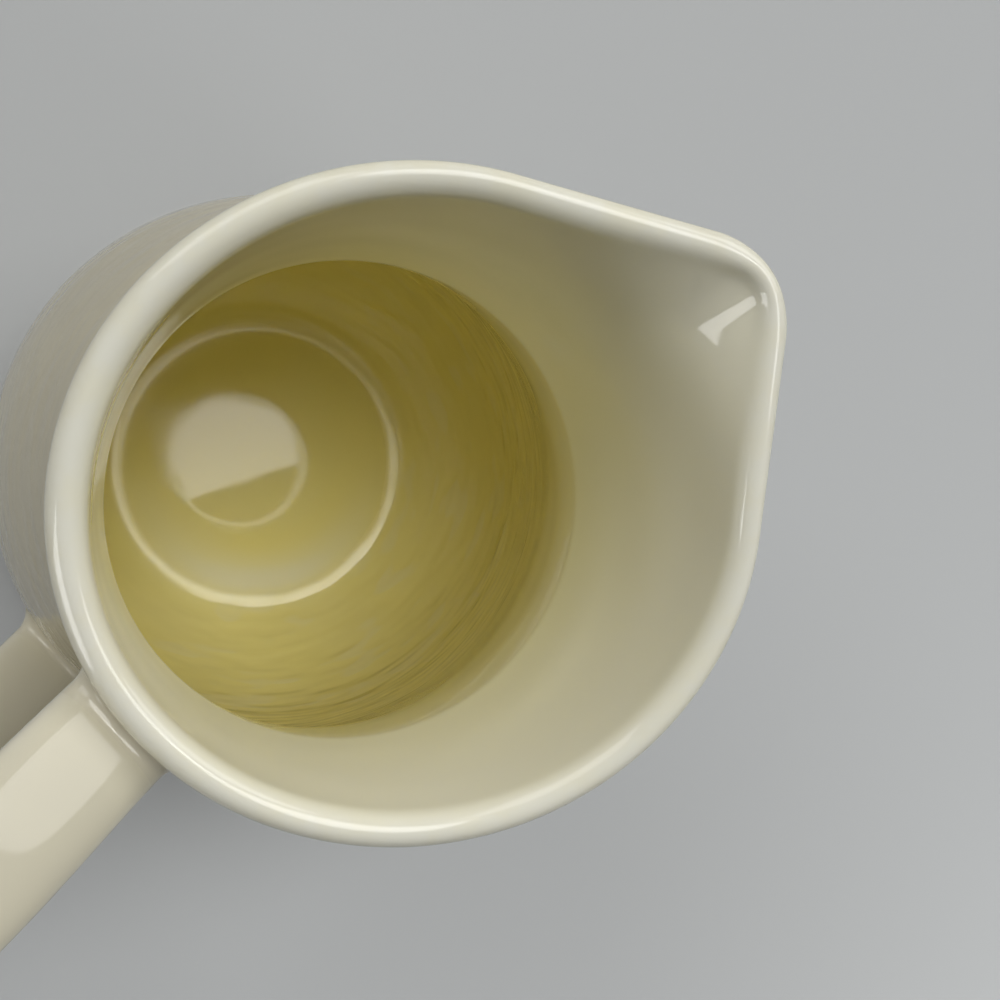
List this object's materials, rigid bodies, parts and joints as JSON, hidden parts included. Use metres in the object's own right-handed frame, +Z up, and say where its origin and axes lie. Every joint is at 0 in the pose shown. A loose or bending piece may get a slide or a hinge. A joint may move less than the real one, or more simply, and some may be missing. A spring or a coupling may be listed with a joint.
{
  "type": "water pitcher",
  "caption": "Glazed ceramic water pitcher with a pear-shaped body, a rim slanting up to a pulled spout, and a broad strap handle luted on by slip joints.",
  "frame": {"origin": "centre of the flat underside of the foot, on the body's axis", "axes": "+Z up along the body's axis, +X towards the spout, -X towards the handle, XZ the plane of symmetry"},
  "size_m": [0.187, 0.1358, 0.1923],
  "materials": {
    "glaze_body": "cream glaze, very glossy",
    "glaze_handle": "cream glaze, very glossy",
    "glaze_joint": "cream glaze pooled in the fillets, very glossy"
  },
  "bodies": {
    "root": {"body": "glaze_body", "handle": "glaze_handle", "upper_joint": "glaze_joint", "lower_joint": "glaze_joint"}
  },
  "joints": []
}
